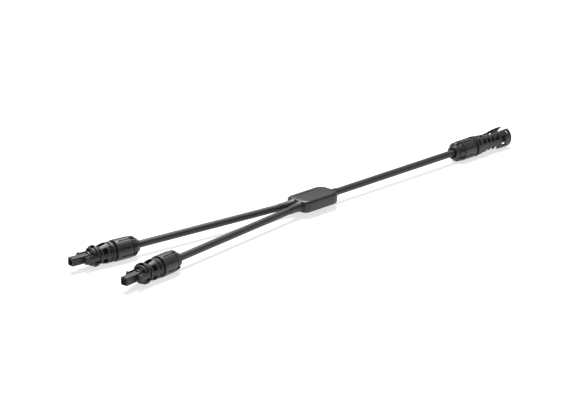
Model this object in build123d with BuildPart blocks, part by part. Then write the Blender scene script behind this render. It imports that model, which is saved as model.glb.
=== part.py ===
from build123d import *
import math
import os

# Solar Y branch cable set: one sleeve connector on a trunk lead, a moulded Y junction, and two
# plug connectors on branch leads. Millimetres. +X runs along the trunk towards the sleeve
# connector, +Z is up, and the origin is on the floor under the middle of the set.

# ---- Driving dimensions ---------------------------------------------------------------------
# Layout: every axis meets at the apex, inside the junction.
trunk_reach = 246.8  # apex to the front face of the sleeve connector
branch_reach = 269.4  # apex to the tip of a plug connector
branch_angle = 7.0  # each branch lead leaves the trunk line by this, in degrees

# Cable
cable_radius = 3.2
insulation_radius = 2.3
conductor_radius = 1.55
layer_fit = 0.03  # between the layers of the cable, and between the cable and what is moulded on

# Contacts
pin_radius = 2.0
socket_bore_radius = 2.05
contact_radius = 2.55
contact_fit = 0.1
contact_flange_radius = 3.3
contact_flange_length = 1.6
crimp_length = 11.0
clip_length = 2.4
clip_wall = 0.35

# Plug connector, measured from its tip
probe_half_width = 3.7
probe_corner_radius = 1.6
probe_length = 16.5
contact_recess = 2.5
probe_mouth_chamfer = 0.3
collar_radius = 4.9
collar_length = 2.0
ring_section_radius = 0.65
hood_nose_front = 19.6
hood_nose_radius = 7.95
hood_front = 22.4
hood_ring_length = 2.0
hood_radius = 9.2
hood_bore_radius = 6.4
recess_floor = 25.7
plug_body_end = 41.0
waist_radius = 7.9
belly_radius = 8.85

# Latch arms of a plug
arm_tip = 10.6
arm_catch = 13.8
arm_inner = 5.8
arm_outer_radius = 7.5
barb_radius = 8.6
arm_half_width = 3.2
arm_pivot = 24.9
arm_pivot_radius = 0.8
arm_fit = 0.12
arm_bay_half_width = 3.9

# Sleeve connector, measured from its front face
sleeve_body_end = 47.6
front_ring_length = 8.4
front_ring_radius = 9.7
front_ring_bore_radius = 8.15
side_slot_length = 5.0
side_slot_half_angle = 30.0
channel_half_width = 4.1
channel_length = 41.0
sleeve_waist_at = 25.6
sleeve_waist_radius = 7.9
sleeve_flange_radius = 9.5
receptacle_radius = 5.7
receptacle_front = 0.4
receptacle_mouth = 4.6
receptacle_depth = 21.5
pin_tip = 5.2

# Threaded stub, seal, collet and nut, measured from the end of a connector's body
stub_length = 14.0
seal_wall = 2.2
stub_wall = 1.5
thread_pitch = 2.5
thread_height = 0.65
thread_base = 1.25
thread_crest = 0.5
thread_turns = 3.2
thread_gap = 0.2  # between the crest of each thread and the wall it turns in
neck_length = 1.3
neck_radius = 8.3
nut_gap = 1.6
nut_length = 24.0
nut_wall = 1.65
nut_exit_gap = 1.5
nut_ring_wall = 1.7
nut_collar_length = 3.6
nut_rib_end = 15.4
nut_ribs = 8
nut_lug_gap = 1.2
nut_lug_end = 21.4
nut_lug_radius = 9.0
nut_cone_radius = 7.7
groove_width = 1.3
groove_depth = 0.65
seal_length = 7.6
collet_fit = 0.15
collet_flange_length = 1.3
collet_tail = 6.2
collet_fingers = 6

# Junction
junction_half_width = 12.8
junction_half_height = 5.5
junction_front = 10.1
junction_back = -35.0
junction_edge_radius = 2.2
junction_end_slope = 2.6
boot_end = 50.0
boot_wall = 1.7
trunk_collar_length = 6.5
trunk_collar_wall = 0.8
ferrule_half_width = 5.2
ferrule_half_height = 2.9
ferrule_front = 2.0
ferrule_back = -20.0
trunk_conductor_start = -7.0
branch_conductor_start = 13.5
insulation_bare = 2.0
jacket_bare = 5.0

# ---- Values that follow from them -----------------------------------------------------------
stub_bore_radius = cable_radius + seal_wall
stub_radius = stub_bore_radius + stub_wall
nut_bore_radius = stub_radius + thread_height + thread_gap
nut_radius = nut_bore_radius + nut_wall
nut_exit_radius = cable_radius + nut_exit_gap
nut_ring_radius = nut_exit_radius + nut_ring_wall
collet_flange_radius = stub_radius - 0.3
boot_radius = cable_radius + boot_wall
trunk_collar_radius = cable_radius + trunk_collar_wall
axis_height = max(sleeve_flange_radius, nut_radius, hood_radius)
branch_run = math.radians(branch_angle)
probe_fit = 0.25
probe_socket_half = probe_half_width + probe_fit
plug_back = branch_reach * math.cos(branch_run)
tip_side = probe_half_width * math.sin(branch_run)
middle = (trunk_reach - plug_back - tip_side) / 2
contact_seat = contact_recess
contact_bore_radius = contact_radius + contact_fit
flange_bore_radius = contact_flange_radius + contact_fit
ring_groove_start = probe_length + collar_length
ring_groove_radius = 3.8
ring_groove_length = 1.7

os.makedirs("parts", exist_ok=True)

# A place puts a connector's own axis (+X, from its tip back to its cable) on the cable set.
sleeve_place = Location((trunk_reach - middle, 0, axis_height), (0, 0, 180))
near_place = Location(
    (-plug_back - middle, -branch_reach * math.sin(branch_run), axis_height), (0, 0, branch_angle)
)
far_place = Location(
    (-plug_back - middle, branch_reach * math.sin(branch_run), axis_height), (0, 0, -branch_angle)
)
junction_place = Location((-middle, 0, axis_height))


def keep(piece, name, place):
    """Label a finished piece, seat it in the cable set and write it to its own file."""
    piece.part.label = name
    export_step(piece.part.moved(place), f"parts/{name}.step")


def tube(start, end, outer, inner):
    """A plain tube on the connector's axis."""
    with BuildPart() as piece:
        with BuildSketch(Plane.YZ.offset(start)):
            Circle(outer)
            Circle(inner, mode=Mode.SUBTRACT)
        extrude(amount=end - start)
    return piece


def thread_ridge(root_radius, start, outward):
    """One helical ridge on the connector's axis, standing out of a wall or into a bore."""
    side = 1 if outward else -1
    sunk = root_radius - side * 0.12
    crest = root_radius + side * thread_height
    with BuildPart() as ridge:
        with BuildLine() as path:
            helix = Helix(
                pitch=thread_pitch,
                height=thread_pitch * thread_turns,
                radius=root_radius,
                center=(start, 0, 0),
                direction=(1, 0, 0),
            )
        radial = (helix @ 0) - Vector(start, 0, 0)
        with BuildSketch(Plane(helix @ 0, x_dir=radial, z_dir=helix % 0)):
            with BuildLine():
                Polyline(
                    (sunk - root_radius, -thread_base / 2),
                    (crest - root_radius, -thread_crest / 2),
                    (crest - root_radius, thread_crest / 2),
                    (sunk - root_radius, thread_base / 2),
                    close=True,
                )
            make_face()
        sweep(path=path.line, is_frenet=True)
    return ridge


# ---- Pieces that every connector has --------------------------------------------------------
def rear_chamber(body_end, bore_start):
    """Chambers for the contact's flange and for the cable seal, open at the stub's end."""
    with BuildPart() as chamber:
        with BuildSketch(Plane.YZ.offset(bore_start)):
            Circle(flange_bore_radius)
        extrude(amount=body_end - bore_start + 1)
        with BuildSketch(Plane.YZ.offset(body_end)):
            Circle(stub_bore_radius)
        extrude(amount=stub_length + 1)
    return chamber


def threaded_stub(body_end):
    """The stub that the gland nut screws on."""
    with BuildPart() as stub:
        with BuildSketch(Plane.YZ.offset(body_end)):
            Circle(stub_radius)
        extrude(amount=stub_length)
        stub_rim = stub.faces().filter_by(Axis.X).sort_by(Axis.X)[-1].edges()
        chamfer(stub_rim, 0.4)
        add(thread_ridge(stub_radius, body_end + nut_gap + 2.6, outward=True).part)
    return stub


def cable_seal(body_end):
    """Rubber sleeve that the collet squeezes round the cable inside the stub."""
    start = body_end + 0.4
    with BuildPart() as seal:
        with BuildSketch(Plane.YZ.offset(start)):
            Circle(stub_bore_radius - layer_fit)
            Circle(cable_radius + layer_fit, mode=Mode.SUBTRACT)
        extrude(amount=seal_length)
        for rib in range(3):
            with BuildSketch(Plane.YZ.offset(start + seal_length * (rib + 0.65) / 3)):
                Circle(stub_bore_radius + 1)
                Circle(stub_bore_radius - 0.45, mode=Mode.SUBTRACT)
            extrude(amount=0.8, mode=Mode.SUBTRACT)
    return seal


def clamp_collet(body_end):
    """Split ring with fingers that the nut's cone presses onto the cable's jacket."""
    nose_start = body_end + 0.4 + seal_length + 0.3
    flange_start = body_end + stub_length + 0.3
    tail_start = flange_start + collet_flange_length
    tail_end = tail_start + collet_tail
    with BuildPart() as collet:
        with BuildSketch():
            with BuildLine():
                Polyline(
                    (nose_start, cable_radius + collet_fit),
                    (nose_start, stub_bore_radius - collet_fit),
                    (flange_start, stub_bore_radius - collet_fit),
                    (flange_start, collet_flange_radius),
                    (tail_start, collet_flange_radius),
                    (tail_start, stub_bore_radius),
                    (tail_end, cable_radius + 0.75),
                    (tail_end, cable_radius + collet_fit),
                    close=True,
                )
            make_face()
        revolve(axis=Axis.X)
        for finger in range(collet_fingers):
            slot_plane = Plane.XY.rotated((360 * finger / collet_fingers, 0, 0))
            with BuildSketch(slot_plane):
                with BuildLine():
                    Polyline(
                        (tail_start + 0.8, 0),
                        (tail_end + 1, 0),
                        (tail_end + 1, stub_radius),
                        (tail_start + 0.8, stub_radius),
                        close=True,
                    )
                make_face()
            extrude(amount=0.35, both=True, mode=Mode.SUBTRACT)
    return collet


def gland_nut(body_end):
    """Ribbed nut with an inner cone, screwed on the stub; fins stand on its rear cone."""
    front = body_end + nut_gap
    back = front + nut_length
    rib_end = front + nut_rib_end
    lug_start = rib_end + nut_lug_gap
    lug_end = front + nut_lug_end
    lug_half_width = 1.6
    cone_start = body_end + stub_length + 0.3 + collet_flange_length + 0.4
    with BuildPart() as nut:
        with BuildSketch():
            with BuildLine():
                Polyline(
                    (front, 0),
                    (front, nut_radius - 0.6),
                    (front + 0.6, nut_radius),
                    (front + nut_collar_length, nut_radius),
                    (rib_end, nut_radius - 0.1),
                    (rib_end + 0.3, nut_cone_radius),
                    (back - 1.8, nut_ring_radius + 0.5),
                    (back - 1.5, nut_ring_radius),
                    (back, nut_ring_radius),
                    (back, 0),
                    close=True,
                )
            make_face()
        revolve(axis=Axis.X)
        for rib in range(nut_ribs):
            turn = 360 * (rib + 0.5) / nut_ribs
            with BuildSketch(Plane.XY.rotated((turn, 0, 0))):
                with Locations(((front + nut_collar_length + lug_start) / 2, nut_radius)):
                    Rectangle(lug_start - front - nut_collar_length, 2 * groove_depth)
            extrude(amount=groove_width / 2, both=True, mode=Mode.SUBTRACT)
            with BuildSketch(Plane.XY.rotated((turn + 180 / nut_ribs, 0, 0))):
                with BuildLine():
                    Polyline(
                        (lug_start, nut_exit_radius + 1.2),
                    (lug_start, nut_lug_radius - 0.2),
                    (lug_start + 0.3, nut_lug_radius),
                    (lug_end - 1.2, nut_lug_radius - 0.2),
                    (lug_end, nut_lug_radius - 1.1),
                    (lug_end, nut_exit_radius + 1.2),
                    close=True,
                    )
                make_face()
            extrude(amount=lug_half_width, both=True)
        with BuildSketch():
            with BuildLine():
                Polyline(
                    (front - 1, 0),
                    (front - 1, nut_bore_radius),
                    (cone_start, nut_bore_radius),
                    (cone_start + 0.4, stub_bore_radius + 1.0),
                    (cone_start + collet_tail + 0.6, nut_exit_radius),
                    (back + 1, nut_exit_radius),
                    (back + 1, 0),
                    close=True,
                )
            make_face()
        revolve(axis=Axis.X, mode=Mode.SUBTRACT)
        thread_start = body_end + nut_gap + 2.6 + thread_pitch / 2
        add(thread_ridge(nut_bore_radius, thread_start, outward=False).part)
    return nut


def retention_clip(start):
    """Spring ring round the contact's barrel that holds its flange against the seat."""
    with BuildPart() as clip:
        with BuildSketch(Plane.YZ.offset(start)):
            Circle(flange_bore_radius - layer_fit)
            Circle(flange_bore_radius - layer_fit - clip_wall, mode=Mode.SUBTRACT)
        extrude(amount=clip_length)
        with BuildSketch(Plane.YZ.offset(start)):
            with Locations((0, flange_bore_radius)):
                Rectangle(0.9, 2)
        extrude(amount=clip_length, mode=Mode.SUBTRACT)
    return clip


# ---- Plug connector -------------------------------------------------------------------------
plug_contact_end = plug_body_end - 3.6
plug_flange_seat = hood_front + 1.6
plug_neck = plug_body_end - neck_length
waist_at = 28.8
belly_at = 33.6


# Each pocket on the top: start, end, half width, radius of its floor.
plug_top_pockets = (
    (20.9, 23.4, 2.1, 6.0),
    (26.8, 34.4, 1.9, 5.5),
)
plug_ladder_turns = (33, 147, 213, 327)
# Each window of the ladder: middle, length along the axis, half width, radius of its floor.
plug_ladder = (
    (26.0, 1.9, 2.2, 6.0),
    (31.0, 4.2, 2.4, 5.5),
    (36.1, 1.2, 3.2, 6.6),
    (38.0, 0.6, 3.0, 8.0),
)


def plug_housing():
    """Probe, hood and body of a plug, moulded in one, with the stub for the nut."""
    with BuildPart() as housing:
        with BuildSketch(Plane.YZ):
            RectangleRounded(2 * probe_half_width, 2 * probe_half_width, probe_corner_radius)
        extrude(amount=probe_length + 1)
        tip_rim = housing.faces().filter_by(Axis.X).sort_by(Axis.X)[0].edges()
        fillet(tip_rim, 0.7)
        with BuildSketch():
            with BuildLine():
                Polyline(
                    (probe_length, 0),
                    (probe_length, collar_radius - 0.3),
                    (probe_length + 0.3, collar_radius),
                    (ring_groove_start, collar_radius),
                    (ring_groove_start, ring_groove_radius),
                    (ring_groove_start + ring_groove_length, ring_groove_radius),
                    (ring_groove_start + ring_groove_length, collar_radius),
                    (recess_floor, collar_radius),
                    (recess_floor, hood_bore_radius),
                    (hood_nose_front, hood_bore_radius),
                    (hood_nose_front, hood_nose_radius - 0.5),
                    (hood_nose_front + 0.5, hood_nose_radius),
                    (hood_front, hood_nose_radius),
                    (hood_front, hood_radius - 0.3),
                    (hood_front + 0.3, hood_radius),
                    (hood_front + hood_ring_length, hood_radius),
                    (hood_front + hood_ring_length + 0.4, hood_radius - 0.5),
                )
                Spline(
                    (hood_front + hood_ring_length + 0.4, hood_radius - 0.5),
                    (waist_at, waist_radius),
                    (belly_at, belly_radius),
                    (plug_neck - 2.0, belly_radius - 0.5),
                )
                Polyline(
                    (plug_neck - 2.0, belly_radius - 0.5),
                    (plug_neck - 2.0, belly_radius),
                    (plug_neck, belly_radius),
                    (plug_neck, neck_radius),
                    (plug_body_end, neck_radius),
                    (plug_body_end, 0),
                    (probe_length, 0),
                )
            make_face()
        revolve(axis=Axis.X)
        add(threaded_stub(plug_body_end).part)
        add(rear_chamber(plug_body_end, plug_flange_seat).part, mode=Mode.SUBTRACT)
        with BuildSketch(Plane.YZ):
            Circle(contact_bore_radius)
        extrude(amount=plug_flange_seat + 1, mode=Mode.SUBTRACT)
        mouth_rim = housing.edges().filter_by(GeomType.CIRCLE).sort_by(Axis.X)[0]
        chamfer(mouth_rim, probe_mouth_chamfer)
        # Bays through the hood's sides, where the latch arms lie.
        for side in (-1, 1):
            with BuildSketch(Plane.XY):
                with Locations(((hood_nose_front - 1 + recess_floor) / 2, side * (arm_inner + 9.5))):
                    Rectangle(recess_floor - hood_nose_front + 1, 20)
            extrude(amount=arm_bay_half_width, both=True, mode=Mode.SUBTRACT)
        # Hollows that the latch roots turn in, one each side of the recess floor.
        for side in (-1, 1):
            with BuildSketch(Plane.XY):
                with Locations((arm_pivot, side * (arm_inner + arm_pivot_radius))):
                    Circle(arm_pivot_radius + arm_fit)
            extrude(amount=arm_half_width + arm_fit, both=True, mode=Mode.SUBTRACT)
        # A pocket in the nose and a longer window in the waist, on the top and the bottom.
        for turn in (90, 270):
            for start, end, half_width, floor in plug_top_pockets:
                with BuildSketch(Plane.XY.rotated((turn, 0, 0))):
                    with Locations(((start + end) / 2, floor + 5)):
                        Rectangle(end - start, 10)
                extrude(amount=half_width, both=True, mode=Mode.SUBTRACT)
        for turn in plug_ladder_turns:
            for at, length, half_width, floor in plug_ladder:
                with BuildSketch(Plane.XY.rotated((turn, 0, 0))):
                    with Locations((at, belly_radius + 1)):
                        Rectangle(length, 2 * (belly_radius + 1 - floor))
                extrude(amount=half_width, both=True, mode=Mode.SUBTRACT)
    return housing


def latch_arm(side):
    """Springy arm with a barb; its round root sits in the hood's recess."""
    pivot_y = side * (arm_inner + arm_pivot_radius)
    with BuildPart() as arm:
        with BuildSketch(Plane.YZ.offset(arm_tip)):
            Circle(arm_outer_radius)
            with Locations((side * (arm_inner - 10), 0)):
                Rectangle(20, 40, mode=Mode.SUBTRACT)
            with Locations((-side * 10, 0)):
                Rectangle(20, 40, mode=Mode.SUBTRACT)
        extrude(amount=arm_pivot - arm_tip)
        with BuildSketch(Plane.XY):
            with BuildLine():
                Polyline(
                    (arm_tip, side * arm_inner),
                    (arm_tip, side * (arm_outer_radius - 0.9)),
                    (arm_catch - 0.9, side * barb_radius),
                    (arm_catch, side * barb_radius),
                    (arm_catch, side * arm_inner),
                    close=True,
                )
            make_face()
        extrude(amount=arm_half_width, both=True)
        with BuildSketch(Plane.XY):
            with Locations((arm_pivot, pivot_y)):
                Circle(arm_pivot_radius)
        extrude(amount=arm_half_width, both=True)
        with BuildSketch(Plane.XZ):
            with Locations(((arm_tip + arm_pivot) / 2, 0)):
                Rectangle(arm_pivot - arm_tip + 4, 2 * arm_half_width)
        extrude(amount=barb_radius + 1, both=True, mode=Mode.INTERSECT)
    return arm


def probe_ring():
    """O-ring at the root of the probe."""
    middle_radius = ring_groove_radius + ring_section_radius + 0.02
    with BuildPart() as ring:
        with BuildSketch():
            with Locations((ring_groove_start + ring_groove_length / 2, middle_radius)):
                Circle(ring_section_radius)
        revolve(axis=Axis.X)
    return ring


def socket_contact():
    """Turned socket contact: spring tube, flange and crimp barrel."""
    crimp_start = plug_contact_end - crimp_length
    with BuildPart() as contact:
        with BuildSketch(Plane.YZ.offset(contact_seat)):
            Circle(contact_radius)
        extrude(amount=plug_contact_end - contact_seat)
        with BuildSketch(Plane.YZ.offset(plug_flange_seat)):
            Circle(contact_flange_radius)
        extrude(amount=contact_flange_length)
        with BuildSketch(Plane.YZ.offset(contact_seat)):
            Circle(socket_bore_radius)
        extrude(amount=16, mode=Mode.SUBTRACT)
        with BuildSketch(Plane.YZ.offset(crimp_start)):
            Circle(conductor_radius + layer_fit)
        extrude(amount=crimp_length + 1, mode=Mode.SUBTRACT)
    return contact


# ---- Sleeve connector -----------------------------------------------------------------------
sleeve_contact_end = sleeve_body_end - 3.6
sleeve_flange_seat = 27.0
sleeve_neck = sleeve_body_end - neck_length
# Each window of the ladder: middle, length along the axis, half width.
sleeve_ladder = (
    (18.4, 4.8, 2.7),
    (24.4, 3.9, 2.5),
    (30.2, 3.7, 2.4),
    (36.2, 3.5, 2.4),
    (43.2, 1.9, 2.9),
)
sleeve_ladder_turns = (34, 146, 228, 312)
ring_window_turns = (44, 136, 224, 316)


def sleeve_housing():
    """Two half shells round a receptacle, moulded in one, with the stub for the nut."""
    shell_wall = 1.6
    with BuildPart() as housing:
        with BuildSketch():
            with BuildLine():
                Polyline((0, front_ring_bore_radius), (0, front_ring_radius - 0.5))
                Polyline((0, front_ring_radius - 0.5), (0.5, front_ring_radius))
                Polyline((0.5, front_ring_radius), (front_ring_length, front_ring_radius))
                Spline(
                    (front_ring_length, front_ring_radius),
                    (front_ring_length + side_slot_length + 1.6, 9.15),
                    (sleeve_waist_at, sleeve_waist_radius),
                    (36.0, 8.6),
                    (sleeve_neck - 1.4, sleeve_flange_radius),
                )
                Polyline(
                    (sleeve_neck - 1.4, sleeve_flange_radius),
                    (sleeve_neck, sleeve_flange_radius),
                    (sleeve_neck, neck_radius),
                    (sleeve_body_end, neck_radius),
                    (sleeve_body_end, 0),
                    (channel_length, 0),
                    (channel_length, sleeve_flange_radius - shell_wall - 0.6),
                )
                Spline(
                    (channel_length, sleeve_flange_radius - shell_wall - 0.6),
                    (sleeve_waist_at, sleeve_waist_radius - shell_wall),
                    (front_ring_length + side_slot_length + 1.6, 9.15 - shell_wall),
                    (front_ring_length, front_ring_bore_radius),
                )
                Polyline((front_ring_length, front_ring_bore_radius), (0, front_ring_bore_radius))
            make_face()
        revolve(axis=Axis.X)
        # The channel along the top and the bottom leaves two half shells.
        with BuildSketch(Plane.XZ):
            for side in (-1, 1):
                with BuildLine():
                    Polyline(
                        (-1, side * 20),
                        (-1, side * (receptacle_radius - 1)),
                        (channel_length - 3, side * (receptacle_radius - 1)),
                        (channel_length, side * sleeve_flange_radius),
                        (channel_length, side * 20),
                        close=True,
                    )
                make_face()
        extrude(amount=channel_half_width, both=True, mode=Mode.SUBTRACT)
        # Receptacle for the probe, with webs that carry the half shells.
        with BuildSketch(Plane.YZ.offset(receptacle_front)):
            Circle(receptacle_radius)
        extrude(amount=sleeve_body_end - receptacle_front)
        for side in (-1, 1):
            with BuildSketch(Plane.XY):
                with BuildLine():
                    Polyline(
                        (15.4, side * (receptacle_radius - 0.5)),
                        (15.4, side * (sleeve_waist_radius - 0.3)),
                        (channel_length + 1, side * (sleeve_waist_radius - 0.3)),
                        (channel_length + 1, side * (receptacle_radius - 0.5)),
                        close=True,
                    )
                make_face()
            extrude(amount=0.9, both=True)
        # Slots that the plug's barbs snap into.
        with BuildSketch(Plane.YZ.offset(front_ring_length)):
            for side in (0, 180):
                with BuildLine():
                    reach = front_ring_radius + 3
                    wide = reach * math.tan(math.radians(side_slot_half_angle))
                    facing = math.cos(math.radians(side))
                    Polyline(
                        (0, 0),
                        (facing * reach, wide),
                        (facing * reach, -wide),
                        close=True,
                    )
                make_face()
            Circle(receptacle_radius, mode=Mode.SUBTRACT)
        extrude(amount=side_slot_length, mode=Mode.SUBTRACT)
        # Ladder windows down both sides of each half shell.
        for turn in sleeve_ladder_turns:
            for at, length, half_width in sleeve_ladder:
                with BuildSketch(Plane.XY.rotated((turn, 0, 0))):
                    with Locations((at, sleeve_flange_radius + 1)):
                        Rectangle(length, 2 * (sleeve_flange_radius + 1 - receptacle_radius - 0.3))
                extrude(amount=half_width, both=True, mode=Mode.SUBTRACT)
        for turn in ring_window_turns:
            with BuildSketch(Plane.XY.rotated((turn, 0, 0))):
                with Locations((front_ring_length / 2, front_ring_radius)):
                    Rectangle(2.8, 2 * (front_ring_radius - front_ring_bore_radius + 1))
            extrude(amount=1.6, both=True, mode=Mode.SUBTRACT)
        add(threaded_stub(sleeve_body_end).part)
        add(rear_chamber(sleeve_body_end, sleeve_flange_seat).part, mode=Mode.SUBTRACT)
        with BuildSketch(Plane.YZ.offset(receptacle_depth - 1)):
            Circle(contact_bore_radius)
        extrude(amount=sleeve_flange_seat - receptacle_depth + 2, mode=Mode.SUBTRACT)
        with BuildSketch(Plane.YZ.offset(receptacle_mouth)):
            RectangleRounded(2 * probe_socket_half, 2 * probe_socket_half, probe_corner_radius + probe_fit)
        extrude(amount=receptacle_depth - receptacle_mouth, mode=Mode.SUBTRACT)
        with BuildSketch(Plane.YZ):
            Circle(collar_radius + 0.15)
        extrude(amount=receptacle_mouth, mode=Mode.SUBTRACT)
    return housing


def pin_contact():
    """Turned pin contact: pin, flange and crimp barrel."""
    with BuildPart() as contact:
        with BuildSketch(Plane.YZ.offset(pin_tip)):
            Circle(pin_radius)
        extrude(amount=receptacle_depth - pin_tip)
        pin_nose = contact.faces().filter_by(Axis.X).sort_by(Axis.X)[0].edges()
        fillet(pin_nose, 1.1)
        with BuildSketch(Plane.YZ.offset(receptacle_depth)):
            Circle(contact_radius)
        extrude(amount=sleeve_contact_end - receptacle_depth)
        with BuildSketch(Plane.YZ.offset(sleeve_flange_seat)):
            Circle(contact_flange_radius)
        extrude(amount=contact_flange_length)
        with BuildSketch(Plane.YZ.offset(sleeve_contact_end - crimp_length)):
            Circle(conductor_radius + layer_fit)
        extrude(amount=crimp_length + 1, mode=Mode.SUBTRACT)
    return contact


# ---- Junction -------------------------------------------------------------------------------
def branch_plane(side, at):
    """Plane across a branch lead, this far from the apex."""
    turn = branch_run
    along = Vector(-math.cos(turn), side * math.sin(turn), 0)
    return Plane(origin=along * at, x_dir=(side * math.sin(turn), math.cos(turn), 0), z_dir=along)


def splice_ferrule():
    """Crimped block that joins the trunk conductor to both branch conductors."""
    with BuildPart() as ferrule:
        with BuildSketch(Plane.YZ.offset(ferrule_back)):
            RectangleRounded(2 * ferrule_half_width, 2 * ferrule_half_height, ferrule_half_height - 0.1)
        extrude(amount=ferrule_front - ferrule_back)
        with BuildSketch(Plane.YZ.offset(trunk_conductor_start)):
            Circle(conductor_radius + layer_fit)
        extrude(amount=ferrule_front - trunk_conductor_start + 1, mode=Mode.SUBTRACT)
        for side in (-1, 1):
            with BuildSketch(branch_plane(side, branch_conductor_start)):
                Circle(conductor_radius + layer_fit)
            extrude(amount=-ferrule_back, mode=Mode.SUBTRACT)
    return ferrule


def junction_body():
    """Rounded block moulded over the splice, with a collar for the trunk and two boots."""
    length = junction_front - junction_back
    with BuildPart() as body:
        with BuildSketch(Plane.XY.offset(-junction_half_height)):
            with Locations(((junction_front + junction_back) / 2, 0)):
                Rectangle(length, 2 * junction_half_width)
        extrude(amount=2 * junction_half_height)
        front_corners = body.edges().filter_by(Axis.Z).group_by(Axis.X)[-1]
        fillet(front_corners, 8.5)
        back_corners = body.edges().filter_by(Axis.Z).group_by(Axis.X)[0]
        chamfer(back_corners, 5.0)
        rims = body.faces().filter_by(Axis.Z).edges()
        chamfer(rims.group_by(Axis.X)[0], junction_end_slope)
        rims = body.faces().filter_by(Axis.Z).edges()
        slope_top = junction_back + junction_end_slope + 0.1
        side_rims = [rim for rim in rims if rim.center().X > slope_top]
        fillet(side_rims, junction_edge_radius)
        with BuildSketch(Plane.YZ.offset(junction_front - 1)):
            Circle(trunk_collar_radius)
        with BuildSketch(Plane.YZ.offset(junction_front + trunk_collar_length)):
            Circle(cable_radius + 0.5)
        loft()
        for side in (-1, 1):
            with BuildSketch(branch_plane(side, -junction_back - 3.0)):
                Circle(boot_radius)
            with BuildSketch(branch_plane(side, -junction_back + 2.5)):
                Circle(cable_radius + 0.85)
            with BuildSketch(branch_plane(side, boot_end)):
                Circle(cable_radius + 0.25)
            loft()
        # Bare recessed panel on the top.
        with BuildSketch(Plane.XY.offset(junction_half_height)):
            with Locations(((junction_front + junction_back) / 2 - 1, 4.6)):
                RectangleRounded(29.0, 6.4, 1.0)
        extrude(amount=-0.35, mode=Mode.SUBTRACT)
        # Room for the splice and the leads.
        with BuildSketch(Plane.YZ.offset(ferrule_back)):
            RectangleRounded(
                2 * (ferrule_half_width + layer_fit),
                2 * (ferrule_half_height + layer_fit),
                ferrule_half_height - 0.1,
            )
        extrude(amount=ferrule_front - ferrule_back, mode=Mode.SUBTRACT)
        with BuildSketch(Plane.YZ.offset(ferrule_front)):
            Circle(insulation_radius + layer_fit)
        extrude(amount=jacket_bare, mode=Mode.SUBTRACT)
        with BuildSketch(Plane.YZ.offset(ferrule_front + jacket_bare)):
            Circle(cable_radius + layer_fit)
        extrude(amount=trunk_collar_length + junction_front, mode=Mode.SUBTRACT)
        for side in (-1, 1):
            with BuildSketch(branch_plane(side, -ferrule_back - 1)):
                Circle(insulation_radius + layer_fit)
            extrude(amount=jacket_bare + 1.2, mode=Mode.SUBTRACT)
            with BuildSketch(branch_plane(side, -ferrule_back + jacket_bare)):
                Circle(cable_radius + layer_fit)
            extrude(amount=boot_end, mode=Mode.SUBTRACT)
    return body


# ---- Build every piece and seat it ----------------------------------------------------------
def place_ends(prefix, place, body_end):
    """The seal, collet and nut that close a connector round its cable."""
    keep(cable_seal(body_end), f"{prefix}_cable_seal", place)
    keep(clamp_collet(body_end), f"{prefix}_clamp_collet", place)
    keep(gland_nut(body_end), f"{prefix}_gland_nut", place)


for prefix, place in (("near", near_place), ("far", far_place)):
    keep(plug_housing(), f"{prefix}_plug_housing", place)
    keep(probe_ring(), f"{prefix}_probe_ring", place)
    keep(socket_contact(), f"{prefix}_socket_contact", place)
    keep(retention_clip(plug_flange_seat + contact_flange_length + 0.1), f"{prefix}_contact_clip", place)
    keep(latch_arm(1), f"{prefix}_latch_left", place)
    keep(latch_arm(-1), f"{prefix}_latch_right", place)
    place_ends(prefix, place, plug_body_end)

keep(sleeve_housing(), "sleeve_housing", sleeve_place)
keep(pin_contact(), "pin_contact", sleeve_place)
keep(retention_clip(sleeve_flange_seat + contact_flange_length + 0.1), "pin_contact_clip", sleeve_place)
place_ends("sleeve", sleeve_place, sleeve_body_end)

keep(junction_body(), "junction_body", junction_place)
keep(splice_ferrule(), "splice_ferrule", junction_place)

# ---- Leads: straight, stiff cable, each layer a piece of its own ------------------------------
# A lead runs back from its connector's end of the cable to the splice, on the connector's axis.
leads = (
    ("trunk", sleeve_place, sleeve_body_end, trunk_reach, ferrule_front, trunk_conductor_start),
    ("near", near_place, plug_body_end, branch_reach, ferrule_back, branch_conductor_start),
    ("far", far_place, plug_body_end, branch_reach, ferrule_back, branch_conductor_start),
)
for name, place, body_end, reach, block_end, joint_at in leads:
    start = body_end + layer_fit
    contact_end = body_end - 3.6
    block = abs(block_end) if name == "trunk" else abs(block_end) + 1.0
    copper_end = reach - joint_at - layer_fit
    jacket_end = reach - block - jacket_bare - 0.1
    keep(tube(start + 0.3, jacket_end, cable_radius, insulation_radius + layer_fit),
         f"{name}_lead_jacket", place)
    keep(tube(contact_end + 0.3, reach - block - insulation_bare, insulation_radius,
              conductor_radius + layer_fit), f"{name}_lead_insulation", place)
    with BuildPart() as conductor:
        with BuildSketch(Plane.YZ.offset(contact_end - crimp_length + 0.2)):
            Circle(conductor_radius)
        extrude(amount=copper_end - contact_end + crimp_length - 0.2)
    keep(conductor, f"{name}_lead_conductor", place)
    print(name, "lead: jacket", round(jacket_end - start - 0.3, 1), "mm, one straight run")
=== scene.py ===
import math

import bmesh
import bpy
from mathutils import Matrix, Vector


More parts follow.
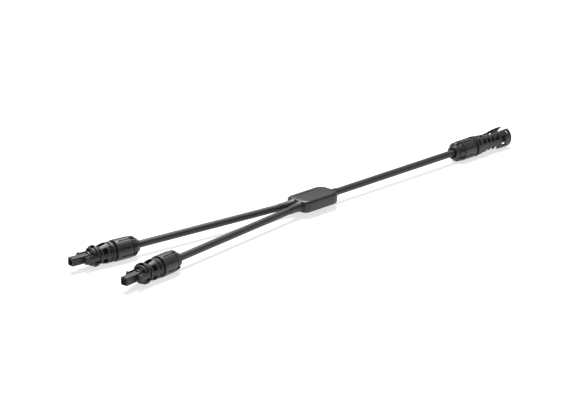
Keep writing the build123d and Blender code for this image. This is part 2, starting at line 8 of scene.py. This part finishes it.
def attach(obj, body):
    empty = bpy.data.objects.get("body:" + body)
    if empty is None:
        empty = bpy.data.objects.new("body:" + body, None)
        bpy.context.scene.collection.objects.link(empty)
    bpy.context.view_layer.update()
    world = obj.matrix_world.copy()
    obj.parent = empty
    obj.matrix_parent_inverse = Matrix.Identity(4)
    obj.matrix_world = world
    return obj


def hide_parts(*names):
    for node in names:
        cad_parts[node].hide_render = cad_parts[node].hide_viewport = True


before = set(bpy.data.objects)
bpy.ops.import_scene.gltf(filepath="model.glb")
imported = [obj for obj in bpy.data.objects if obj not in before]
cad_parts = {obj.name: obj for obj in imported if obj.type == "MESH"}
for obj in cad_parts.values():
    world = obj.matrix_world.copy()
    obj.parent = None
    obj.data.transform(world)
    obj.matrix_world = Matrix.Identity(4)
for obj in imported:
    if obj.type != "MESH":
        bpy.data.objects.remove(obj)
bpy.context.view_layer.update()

# ---- Studio ---------------------------------------------------------------------------------
# A pale floor with nothing else on it, a wide soft light overhead, a weaker one from the
# camera's left and a long lens that looks down on the set from a low corner.
APEX = Vector((0.01052, 0.0, 0.0095))  # where the three leads' axes meet, inside the junction
AZIMUTH = math.radians(-45.58)
ELEVATION = math.radians(19.0)
DISTANCE = 2.4317
LENS = 172.2
AIM_RIGHT = -0.0309
AIM_UP = -0.0077


def area_light(name, place, size, power):
    """Hangs a round lamp that points at the middle of the set."""
    lamp = bpy.data.lights.new(name, "AREA")
    lamp.shape = "DISK"
    lamp.size = size
    lamp.energy = power
    holder = bpy.data.objects.new(name, lamp)
    holder.location = place
    holder.rotation_euler = (-Vector(place)).to_track_quat("-Z", "Y").to_euler()
    bpy.context.collection.objects.link(holder)


forward = Vector((-math.sin(AZIMUTH) * math.cos(ELEVATION),
                  math.cos(AZIMUTH) * math.cos(ELEVATION),
                  -math.sin(ELEVATION)))
right = Vector((math.cos(AZIMUTH), math.sin(AZIMUTH), 0.0))
up = right.cross(forward)
camera = bpy.data.objects.new("camera", bpy.data.cameras.new("camera"))
camera.data.lens = LENS
camera.data.sensor_width = 36.0
camera.location = APEX + right * AIM_RIGHT + up * AIM_UP - forward * DISTANCE
camera.rotation_euler = forward.to_track_quat("-Z", "Y").to_euler()
bpy.context.collection.objects.link(camera)
bpy.context.scene.camera = camera

area_light("overhead", (0.20, 0.40, 1.25), size=0.8, power=42.0)
area_light("left_fill", (-1.2, -0.7, 0.7), size=0.6, power=1.5)

world = bpy.data.worlds.new("studio")
world.use_nodes = True
sky = world.node_tree.nodes["Background"]
sky.inputs["Color"].default_value = (1.0, 1.0, 1.0, 1.0)
sky.inputs["Strength"].default_value = 0.2
bpy.context.scene.world = world
bpy.context.scene.view_settings.view_transform = "Standard"

floor_mesh = bpy.data.meshes.new("floor")
floor_shape = bmesh.new()
bmesh.ops.create_grid(floor_shape, x_segments=1, y_segments=1, size=6.0)
floor_shape.to_mesh(floor_mesh)
floor_shape.free()
floor = bpy.data.objects.new("floor", floor_mesh)
bpy.context.collection.objects.link(floor)
floor_paint = bpy.data.materials.new("floor_paint")
floor_paint.use_nodes = True
floor_shader = floor_paint.node_tree.nodes["Principled BSDF"]
floor_shader.inputs["Base Color"].default_value = (0.32, 0.32, 0.32, 1)
floor_shader.inputs["Roughness"].default_value = 0.9
floor_shader.inputs["Emission Color"].default_value = (1, 1, 1, 1)
floor_shader.inputs["Emission Strength"].default_value = 0.72
floor.data.materials.append(floor_paint)


# ---- Copper, insulation and contacts ----------------------------------------------------------
# Inside each lead runs a tinned strand bundle in pale insulation. A turned contact is crimped on
# each connector's end and a ferrule joins the three bundles in the junction.
class Wire:
    """A socket of a finish's node tree that can be added, multiplied and so on."""

    def __init__(self, tree, socket):
        self.tree = tree
        self.socket = socket

    def combine(self, operation, left, right_value):
        node = self.tree.nodes.new("ShaderNodeMath")
        node.operation = operation
        for place, value in zip(node.inputs, (left, right_value)):
            join(self.tree, place, value)
        return Wire(self.tree, node.outputs[0])

    def __add__(self, other):
        return self.combine("ADD", self, other)

    def __mul__(self, other):
        return self.combine("MULTIPLY", self, other)

    __radd__ = __add__
    __rmul__ = __mul__


def join(tree, place, value):
    """Links a Wire to a socket, or sets the socket to a plain value."""
    if isinstance(value, Wire):
        tree.links.new(value.socket, place)
    else:
        place.default_value = value


class Finish:
    """A material under construction, with its Principled shader ready."""

    def __init__(self, name):
        self.material = bpy.data.materials.new(name)
        self.material.use_nodes = True
        self.tree = self.material.node_tree
        self.shader = self.tree.nodes["Principled BSDF"]

    def node(self, kind, settings=(), sockets=(), output=0):
        node = self.tree.nodes.new(kind)
        for name, value in dict(settings).items():
            setattr(node, name, value)
        for name, value in dict(sockets).items():
            join(self.tree, node.inputs[name], value)
        return Wire(self.tree, node.outputs[output])

    def where(self, stretch=(1, 1, 1), turn=0.0):
        """Object coordinates, stretched, and turned about the vertical."""
        spot = self.node("ShaderNodeTexCoord", output="Object")
        return self.node("ShaderNodeMapping", {"vector_type": "TEXTURE"},
                         {"Vector": spot, "Rotation": (0, 0, turn), "Scale": stretch})

    def noise(self, vector, grain, detail=3.0, roughness=0.55):
        """Soft noise about 0.5 whose blotches are about grain metres across."""
        return self.node("ShaderNodeTexNoise", (), {
            "Vector": vector, "Scale": 1.0 / grain, "Detail": detail, "Roughness": roughness}, "Fac")

    def blend(self, amount, low, high):
        return self.node("ShaderNodeMix", {"data_type": "RGBA"},
                         {0: amount, 6: (*low, 1), 7: (*high, 1)}, 2)

    def limit(self, value, low, high, out_low=0.0, out_high=1.0):
        return self.node("ShaderNodeMapRange", {"clamp": True, "interpolation_type": "SMOOTHSTEP"}, {
            "Value": value, "From Min": low, "From Max": high, "To Min": out_low, "To Max": out_high})

    def put(self, **values):
        names = {"colour": "Base Color", "roughness": "Roughness", "metallic": "Metallic",
                 "normal": "Normal"}
        for name, value in values.items():
            join(self.tree, self.shader.inputs[names[name]], value)

    def bump(self, height, depth, strength, under=None):
        sockets = {"Height": height, "Distance": depth, "Strength": strength}
        if under is not None:
            sockets["Normal"] = under
        return self.node("ShaderNodeBump", (), sockets)


def give(node, finish):
    """Puts a finish on a CAD node that keeps its own shape."""
    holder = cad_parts[node]
    holder.data.materials.clear()
    holder.data.materials.append(finish.material)


def metal_finish(name, low, high, roughness, ring_pitch):
    """Turned and plated metal: fine rings from the tool and a patchy dull film."""
    finish = Finish(name)
    spot = finish.where()
    film = finish.limit(finish.noise(spot, 0.0016, 4.0), 0.35, 0.7)
    streak = finish.noise(finish.where((ring_pitch, 0.004, 0.004)), 1.0, 2.0)
    finish.put(colour=finish.blend(film, low, high), metallic=1.0,
               roughness=roughness + film * 0.12 + streak * 0.08,
               normal=finish.bump(streak, 0.00001, 0.5))
    return finish


tinned = metal_finish("tinned_strands", (0.42, 0.36, 0.31), (0.72, 0.68, 0.62), 0.32, 0.0005)
plated = metal_finish("tin_plating", (0.52, 0.51, 0.49), (0.80, 0.79, 0.76), 0.22, 0.0002)
sprung = metal_finish("spring_steel", (0.34, 0.34, 0.35), (0.58, 0.58, 0.60), 0.28, 0.0006)

insulation = Finish("lead_insulation")
insulation_cloud = insulation.noise(insulation.where(), 0.004, 3.0)
insulation.put(colour=insulation.blend(insulation_cloud, (0.55, 0.54, 0.50), (0.68, 0.67, 0.63)),
               roughness=0.5 + insulation_cloud * 0.1)

for lead in ("trunk", "near", "far"):
    give(f"{lead}_lead_conductor", tinned)
    give(f"{lead}_lead_insulation", insulation)
for contact in ("near_socket_contact", "far_socket_contact", "pin_contact", "splice_ferrule"):
    give(contact, plated)
for clip in ("near_contact_clip", "far_contact_clip", "pin_contact_clip"):
    give(clip, sprung)


# ---- Leads ------------------------------------------------------------------------------------
# Three straight lengths of stiff black solar cable. Each jacket starts inside its connector's
# nut and ends inside the junction; the surface keeps faint lines from the extruder's die.
JACKET_DIAMETER = 0.0064
LEAD_ENDS = {
    "trunk": ((0.20939, 0.0, 0.0095), (0.01762, 0.0, 0.0095), 0.0),
    "near": ((-0.21585, -0.02780, 0.0095), (-0.01538, -0.00318, 0.0095), math.radians(7.0)),
    "far": ((-0.21585, 0.02780, 0.0095), (-0.01538, 0.00318, 0.0095), math.radians(-7.0)),
}


def jacket_finish(name, turn):
    finish = Finish(name)
    lines = finish.noise(finish.where((0.06, 0.0006, 0.0006), turn), 1.0, 3.0, 0.6)
    grain = finish.noise(finish.where(), 0.00022, 3.0, 0.6)
    cloud = finish.noise(finish.where((0.03, 0.006, 0.006), turn), 1.0, 2.0)
    rub = finish.noise(finish.where((0.010, 0.0012, 0.0012), turn), 1.0, 5.0, 0.65)
    scuff = finish.limit(rub, 0.60, 0.74)
    tone = cloud * 0.6 + grain * 0.25 + scuff * 0.35
    finish.put(colour=finish.blend(tone, (0.011, 0.0115, 0.0115), (0.030, 0.031, 0.031)),
               roughness=0.44 + cloud * 0.10 + grain * 0.08 + scuff * 0.08,
               normal=finish.bump(lines * 0.6 + grain * 0.4, 0.00003, 0.55))
    return finish


for lead, (start, end, turn) in LEAD_ENDS.items():
    start, end = Vector(start), Vector(end)
    route = bpy.data.curves.new(f"{lead}_jacket", "CURVE")
    route.dimensions = "3D"
    spline = route.splines.new("NURBS")
    spline.points.add(2)
    for point, spot in zip(spline.points, (start, (start + end) / 2, end)):
        point.co = (*spot, 1.0)
    spline.order_u = 3
    spline.use_endpoint_u = True
    route.bevel_depth = JACKET_DIAMETER / 2
    route.bevel_resolution = 10
    jacket = bpy.data.objects.new(f"{lead}_jacket", route)
    jacket.data.materials.append(jacket_finish(f"{lead}_jacket_skin", turn).material)
    bpy.context.collection.objects.link(jacket)
    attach(jacket, "cable_set")
    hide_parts(f"{lead}_lead_jacket")


# ---- Housings ---------------------------------------------------------------------------------
# Every black part is moulded in glass-filled nylon with a fine spark-eroded grain. A plug's probe,
# hood and stub are one moulding, and so are the sleeve's two half shells and its stub.
def moulded_finish(name, dark, light, roughness, grain_depth):
    finish = Finish(name)
    spot = finish.where()
    grain = finish.noise(spot, 0.00016, 3.0, 0.6)
    cloud = finish.noise(spot, 0.006, 3.0)
    flow = finish.noise(finish.where((0.012, 0.0022, 0.0022)), 1.0, 4.0, 0.6)
    rubbed = finish.limit(finish.noise(spot, 0.0022, 6.0, 0.7), 0.60, 0.78)
    tone = cloud * 0.35 + flow * 0.30 + grain * 0.20 + rubbed * 0.35
    rounded = finish.node("ShaderNodeBevel", {"samples": 4}, {"Radius": 0.0003})
    finish.put(colour=finish.blend(tone, dark, light),
               roughness=roughness + cloud * 0.08 + grain * 0.10 + rubbed * 0.06,
               normal=finish.bump(grain * 0.7 + flow * 0.3, grain_depth, 0.6, rounded))
    return finish


housing_skin = moulded_finish("housing_skin", (0.008, 0.0085, 0.0087), (0.027, 0.0285, 0.029), 0.42, 0.00003)
give("sleeve_housing", housing_skin)
for plug in ("near", "far"):
    give(f"{plug}_plug_housing", housing_skin)


# ---- Latch arms -------------------------------------------------------------------------------
# Two springy nylon arms stand beside each plug's probe and catch in the sleeve. Their nylon is painted a
# little darker than the housing's, as painted shade for the shadow they sit in beside the probe, and their
# faces are a little smoother.
latch_skin_painted_shade = moulded_finish("latch_skin_painted_shade", (0.008, 0.0084, 0.0086), (0.022, 0.0234, 0.024), 0.36, 0.00003)
for plug in ("near", "far"):
    for side in ("left", "right"):
        give(f"{plug}_latch_{side}", latch_skin_painted_shade)


# ---- Seals ------------------------------------------------------------------------------------
# Silicone rubber keeps the rain out: an O-ring sits at the root of each probe, and a ribbed
# sleeve is squeezed round each lead inside its stub.
rubber = Finish("seal_rubber")
rubber_bloom = rubber.limit(rubber.noise(rubber.where(), 0.0012, 5.0), 0.45, 0.7)
rubber.put(colour=rubber.blend(rubber_bloom, (0.006, 0.006, 0.0065), (0.016, 0.016, 0.0165)),
           roughness=0.55 + rubber_bloom * 0.12)

for plug in ("near", "far"):
    give(f"{plug}_probe_ring", rubber)
for end in ("near", "far", "sleeve"):
    give(f"{end}_cable_seal", rubber)


# ---- Clamp collets and gland nuts -------------------------------------------------------------
# Each nut squeezes a split collet onto its lead. The nuts come from a polished tool, so they are
# a little glossier than the housings.
nut_skin = moulded_finish("nut_skin", (0.014, 0.0147, 0.0149), (0.036, 0.0378, 0.038), 0.32, 0.00002)
for end in ("near", "far", "sleeve"):
    give(f"{end}_clamp_collet", housing_skin)
    give(f"{end}_gland_nut", nut_skin)


# ---- Junction ---------------------------------------------------------------------------------
# A soft-edged block is moulded over the splice in one shot. It draws down to the trunk at one
# end and to the two branches at the other, and a bare panel is sunk in its top.
BLOCK_HALF_WIDTH = 0.0128
BLOCK_HALF_HEIGHT = 0.0055
BLOCK_FRONT = 0.0101
BLOCK_BACK = -0.0350
BLOCK_ROUNDING = 0.0027
BORE_RADIUS = JACKET_DIAMETER / 2 + 0.00003
PANEL_BACK, PANEL_FRONT = -0.0280, 0.0010
PANEL_NEAR, PANEL_FAR = 0.0014, 0.0078
PANEL_DEPTH = 0.00035
PANEL_RIM = 0.0002
FRONT_CORNER = 0.0085
BACK_CORNER = 0.0055
TOUCHING = 1e-6
# Distance along a lead from the apex, and radius of the skin there.
BOOT_PROFILE = ((0.0300, 0.0052), (0.0335, 0.0051), (0.0358, 0.0046), (0.0385, 0.0041),
                (0.0420, 0.00378), (0.0460, 0.00358), (0.0500, 0.00345))
COLLAR_PROFILE = ((0.0080, 0.0046), (0.0102, 0.0045), (0.0116, 0.0041), (0.0138, 0.00382),
                  (0.0166, 0.0037))


def sleeve_round_lead(shape, profile, heading):
    """Spins the profile's skin and the lead's bore about a lead's axis, as one closed ring."""
    outline = list(profile) + [(profile[-1][0], BORE_RADIUS), (profile[0][0], BORE_RADIUS)]
    corners = [shape.verts.new((along, 0.0, radius)) for along, radius in outline]
    rims = [shape.edges.new(pair) for pair in zip(corners, corners[1:] + corners[:1])]
    bmesh.ops.spin(shape, geom=corners + rims, cent=(0, 0, 0), axis=(1, 0, 0), dvec=(0, 0, 0),
                   angle=math.tau, steps=48, use_merge=True)
    ring = set(corners)
    reach = list(corners)
    while reach:
        for edge in reach.pop().link_edges:
            for corner in edge.verts:
                if corner not in ring:
                    ring.add(corner)
                    reach.append(corner)
    bmesh.ops.rotate(shape, verts=list(ring), cent=(0, 0, 0), matrix=Matrix.Rotation(heading, 3, "Z"))


junction_skin = moulded_finish("junction_skin", (0.010, 0.0106, 0.0108),
                               (0.025, 0.0265, 0.027), 0.34, 0.00002)
block = bmesh.new()
bmesh.ops.create_cube(block, size=1.0)
bmesh.ops.scale(block, verts=block.verts,
                vec=(BLOCK_FRONT - BLOCK_BACK, 2 * BLOCK_HALF_WIDTH, 2 * BLOCK_HALF_HEIGHT))
bmesh.ops.translate(block, verts=block.verts, vec=((BLOCK_FRONT + BLOCK_BACK) / 2, 0, 0))
for forwards, offset, segments in ((True, FRONT_CORNER, 9), (False, BACK_CORNER, 2)):
    posts = [edge for edge in block.edges
             if abs(edge.verts[0].co.z - edge.verts[1].co.z) > BLOCK_HALF_HEIGHT
             and (edge.verts[0].co.x > 0) == forwards
             and abs(edge.verts[0].co.y) > BLOCK_HALF_WIDTH - TOUCHING]
    bmesh.ops.bevel(block, geom=posts, offset=offset, segments=segments, profile=0.5,
                    affect="EDGES", material=-1)
rims = [edge for edge in block.edges
        if abs(abs(edge.verts[0].co.z + edge.verts[1].co.z) / 2 - BLOCK_HALF_HEIGHT) < TOUCHING]
bmesh.ops.bevel(block, geom=rims, offset=BLOCK_ROUNDING, segments=5, profile=0.5,
                affect="EDGES", material=-1)
for spot, facing in (((PANEL_BACK, 0, 0), (1, 0, 0)), ((PANEL_FRONT, 0, 0), (1, 0, 0)),
                     ((0, PANEL_NEAR, 0), (0, 1, 0)), ((0, PANEL_FAR, 0), (0, 1, 0))):
    bmesh.ops.bisect_plane(block, geom=block.verts[:] + block.edges[:] + block.faces[:],
                           plane_co=spot, plane_no=facing)
panel = [face for face in block.faces
         if face.calc_center_median().z > BLOCK_HALF_HEIGHT - TOUCHING
         and PANEL_BACK < face.calc_center_median().x < PANEL_FRONT
         and PANEL_NEAR < face.calc_center_median().y < PANEL_FAR]
bmesh.ops.inset_region(block, faces=panel, thickness=PANEL_RIM, depth=-PANEL_DEPTH)
sleeve_round_lead(block, COLLAR_PROFILE, 0.0)
for lead in ("near", "far"):
    sleeve_round_lead(block, BOOT_PROFILE, math.pi + LEAD_ENDS[lead][2])
bmesh.ops.recalc_face_normals(block, faces=block.faces)
bmesh.ops.translate(block, verts=block.verts, vec=APEX)
block_mesh = bpy.data.meshes.new("junction_block")
block.to_mesh(block_mesh)
block.free()
for face in block_mesh.polygons:
    face.use_smooth = True
block_mesh.set_sharp_from_angle(angle=math.radians(28.0))
junction_block = bpy.data.objects.new("junction_block", block_mesh)
junction_block.data.materials.append(junction_skin.material)
bpy.context.collection.objects.link(junction_block)
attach(junction_block, "cable_set")
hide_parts("junction_body")
